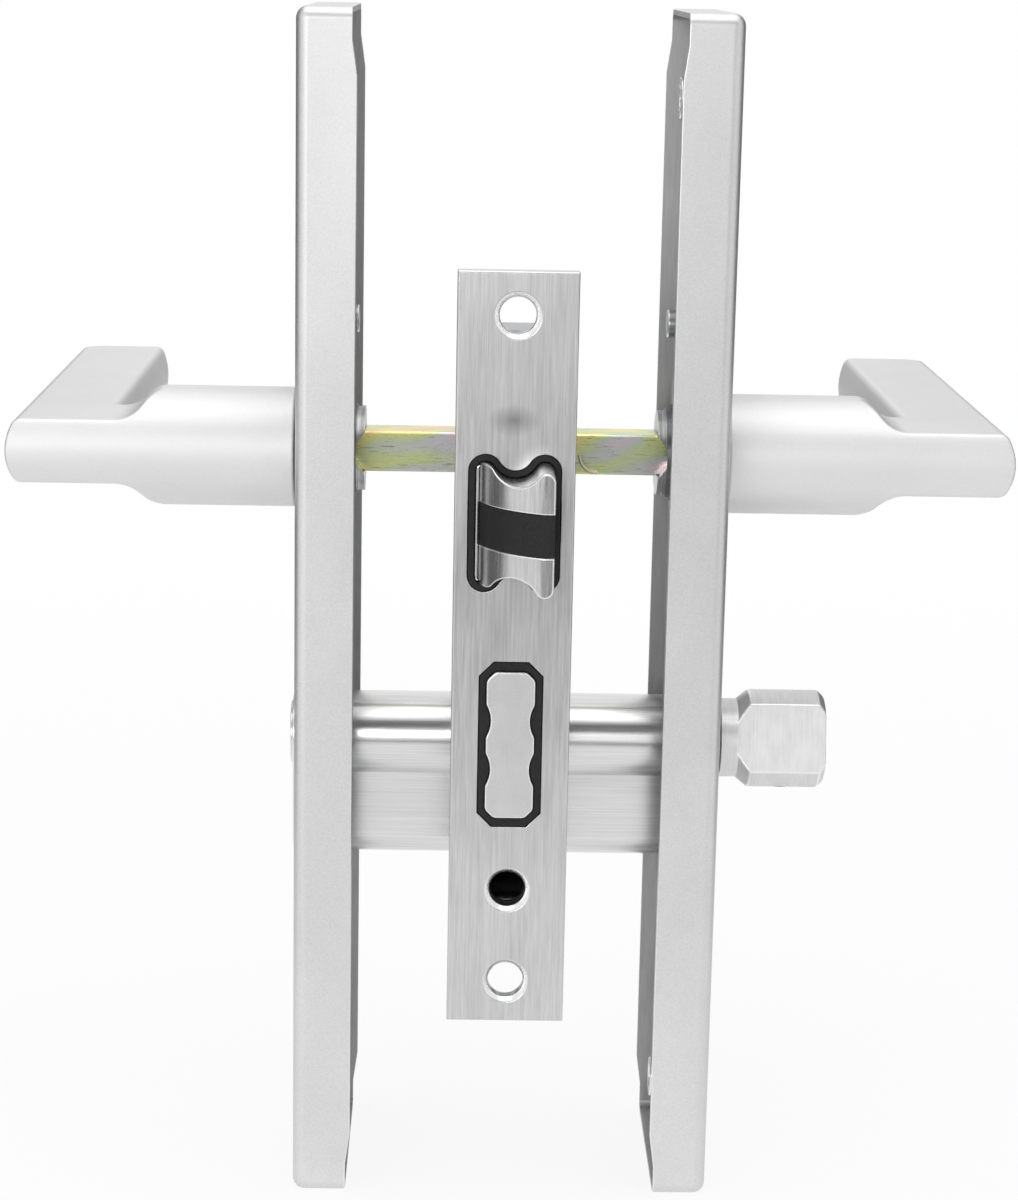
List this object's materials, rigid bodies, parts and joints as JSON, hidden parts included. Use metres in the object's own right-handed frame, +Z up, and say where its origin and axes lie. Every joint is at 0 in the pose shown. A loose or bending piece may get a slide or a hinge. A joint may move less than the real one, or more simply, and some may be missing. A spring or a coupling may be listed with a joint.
{
  "type": "door lever handle set",
  "caption": "Lever handles on long back plates joined by a square spindle, with a mortise latch and deadbolt lock and a profile cylinder with thumb turn.",
  "frame": {"origin": "on the faceplate's centre line midway between its two screw holes, 0.9 mm behind its front face, where the countersinks end", "axes": "-Y out of the faceplate towards the door frame, +X towards the thumb turn side, +Z up along the long plates"},
  "size_m": [0.1956, 0.1545, 0.233],
  "materials": {
    "satin_aluminium_plate": "satin, bead blasted and anodised",
    "satin_aluminium_lever": "satin, bead blasted and anodised",
    "black_nylon": "moulded, matt",
    "zinc_plated_steel": "bright zinc plated",
    "spring_steel": "bare rolled",
    "black_steel": "black oxide",
    "yellow_passivated_steel": "zinc plated, yellow passivated",
    "brushed_stainless": "brushed lengthwise",
    "nickel_plated_zinc": "die cast, nickel plated",
    "satin_nickel_brass": "satin nickel plated",
    "sintered_steel": "sintered, bare"
  },
  "bodies": {
    "lockset": {"left_backplate": "satin_aluminium_plate", "right_backplate": "satin_aluminium_plate", "left_neck_bush": "black_nylon", "right_neck_bush": "black_nylon", "left_nylon_washer": "black_nylon", "right_nylon_washer": "black_nylon", "latch_sleeve": "black_nylon", "deadbolt_sleeve": "black_nylon", "left_spring_cup": "zinc_plated_steel", "right_spring_cup": "zinc_plated_steel", "left_cup_cover": "zinc_plated_steel", "right_cup_cover": "zinc_plated_steel", "left_screw_posts": "zinc_plated_steel", "right_screw_posts": "zinc_plated_steel", "left_spring_post": "zinc_plated_steel", "right_spring_post": "zinc_plated_steel", "case_shell": "zinc_plated_steel", "case_cover": "zinc_plated_steel", "case_screws": "zinc_plated_steel", "left_return_spring": "spring_steel", "right_return_spring": "spring_steel", "latch_spring": "spring_steel", "deadbolt_spring": "spring_steel", "faceplate": "brushed_stainless", "cylinder_body": "satin_nickel_brass"},
    "levers": {"left_lever": "satin_aluminium_lever", "right_lever": "satin_aluminium_lever", "left_retaining_ring": "spring_steel", "right_retaining_ring": "spring_steel", "left_grub_screw": "black_steel", "right_grub_screw": "black_steel", "spindle": "yellow_passivated_steel", "follower": "zinc_plated_steel"},
    "latch": {"latch_bolt": "nickel_plated_zinc", "latch_insert": "black_nylon", "latch_tail": "zinc_plated_steel"},
    "bolt": {"deadbolt": "nickel_plated_zinc", "deadbolt_tail": "zinc_plated_steel"},
    "turn": {"thumb_turn": "satin_nickel_brass", "thumb_turn_pin": "black_steel", "turn_plug": "satin_nickel_brass", "turn_plug_clip": "spring_steel", "cam": "sintered_steel"},
    "key": {"key_plug": "satin_nickel_brass", "key_plug_clip": "spring_steel"}
  },
  "joints": [
    {"name": "lever_turn", "type": "hinge", "parent": "lockset", "child": "levers", "pos_m": [0, 0.0441, 0.031], "axis": [-1, 0, 0], "range_deg": [0, 45], "stiffness_Nm_per_rad": 1, "springref_deg": -28.65, "deforming": ["left_return_spring", "right_return_spring"]},
    {"name": "latch_slide", "type": "slide", "parent": "lockset", "child": "latch", "axis": [0, 1, 0], "range_m": [0, 0.012], "deforming": ["latch_spring"]},
    {"name": "thumb_turn", "type": "hinge", "parent": "lockset", "child": "turn", "pos_m": [0.045, 0.0441, -0.027], "axis": [1, 0, 0], "range_deg": [0, 75.37]},
    {"name": "deadbolt_slide", "type": "slide", "parent": "lockset", "child": "bolt", "axis": [0, -1, 0], "range_m": [0, 0.014]},
    {"name": "key_plug_turn", "type": "hinge", "parent": "lockset", "child": "key", "pos_m": [-0.042, 0.0441, -0.027], "axis": [1, 0, 0], "continuous": true}
  ],
  "couplings": [
    {"joint": "latch_slide", "follows": "lever_turn", "m_per_rad": 0.015279},
    {"joint": "deadbolt_slide", "follows": "thumb_turn", "m_per_rad": 0.010643}
  ]
}
